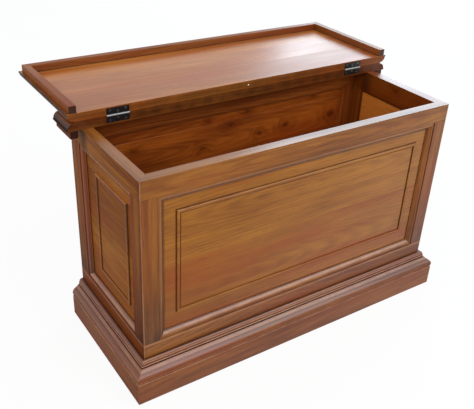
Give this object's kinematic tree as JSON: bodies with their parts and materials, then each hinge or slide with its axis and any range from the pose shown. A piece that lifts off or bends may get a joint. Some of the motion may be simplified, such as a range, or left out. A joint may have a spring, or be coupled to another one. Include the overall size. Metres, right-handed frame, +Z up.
{
  "type": "storage chest",
  "caption": "Oblong wooden storage chest with frame-and-panel walls, a moulded plinth and a hinged lid that folds right back over a fixed rear strip.",
  "frame": {"origin": "on the floor, below the centre of the bounding box of the chest with its lid folded back", "axes": "+Z up, +X to the right along the front as seen from in front, +Y towards the back"},
  "size_m": [1.082, 0.709, 0.7003],
  "materials": {
    "frame_wood": "satin stained and varnished hardwood",
    "panel_wood": "satin stained and varnished hardwood",
    "inside_wood": "matt stained hardwood",
    "plinth_wood": "satin stained and varnished hardwood",
    "lid_wood": "satin stained and varnished hardwood",
    "hinge_iron": "black, slightly glossy",
    "pin_steel": "bright",
    "stud_steel": "bright"
  },
  "bodies": {
    "chest": {"front_top_rail": "frame_wood", "front_bottom_rail": "frame_wood", "front_left_stile": "frame_wood", "front_right_stile": "frame_wood", "left_top_rail": "frame_wood", "left_bottom_rail": "frame_wood", "left_rear_stile": "frame_wood", "left_front_stile": "frame_wood", "right_top_rail": "frame_wood", "right_bottom_rail": "frame_wood", "right_rear_stile": "frame_wood", "right_front_stile": "frame_wood", "back_top_rail": "frame_wood", "back_bottom_rail": "frame_wood", "back_left_stile": "frame_wood", "back_right_stile": "frame_wood", "front_panel": "panel_wood", "left_panel": "panel_wood", "right_panel": "panel_wood", "back_panel": "panel_wood", "floor_panel": "inside_wood", "front_floor_cleat": "inside_wood", "back_floor_cleat": "inside_wood", "left_floor_cleat": "inside_wood", "right_floor_cleat": "inside_wood", "corner_blocks": "inside_wood", "plinth_back_rail": "inside_wood", "plinth_front_board": "plinth_wood", "plinth_left_board": "plinth_wood", "plinth_right_board": "plinth_wood", "plinth_front_moulding": "plinth_wood", "plinth_left_moulding": "plinth_wood", "plinth_right_moulding": "plinth_wood", "rear_strip": "lid_wood", "left_strip_lip": "lid_wood", "right_strip_lip": "lid_wood", "left_strip_leaf": "hinge_iron", "right_strip_leaf": "hinge_iron", "strip_hinge_screws": "hinge_iron", "left_hinge_pin": "pin_steel", "right_hinge_pin": "pin_steel"},
    "lid": {"lid_board": "lid_wood", "lid_front_rim": "lid_wood", "lid_left_rim": "lid_wood", "lid_right_rim": "lid_wood", "left_lid_leaf": "hinge_iron", "right_lid_leaf": "hinge_iron", "lid_hinge_screws": "hinge_iron", "lid_stud": "stud_steel"}
  },
  "joints": [
    {"name": "lid_hinge", "type": "hinge", "parent": "chest", "child": "lid", "pos_m": [0, -0.003, 0.65615], "axis": [1, 0, 0], "range_deg": [0, 180]}
  ]
}
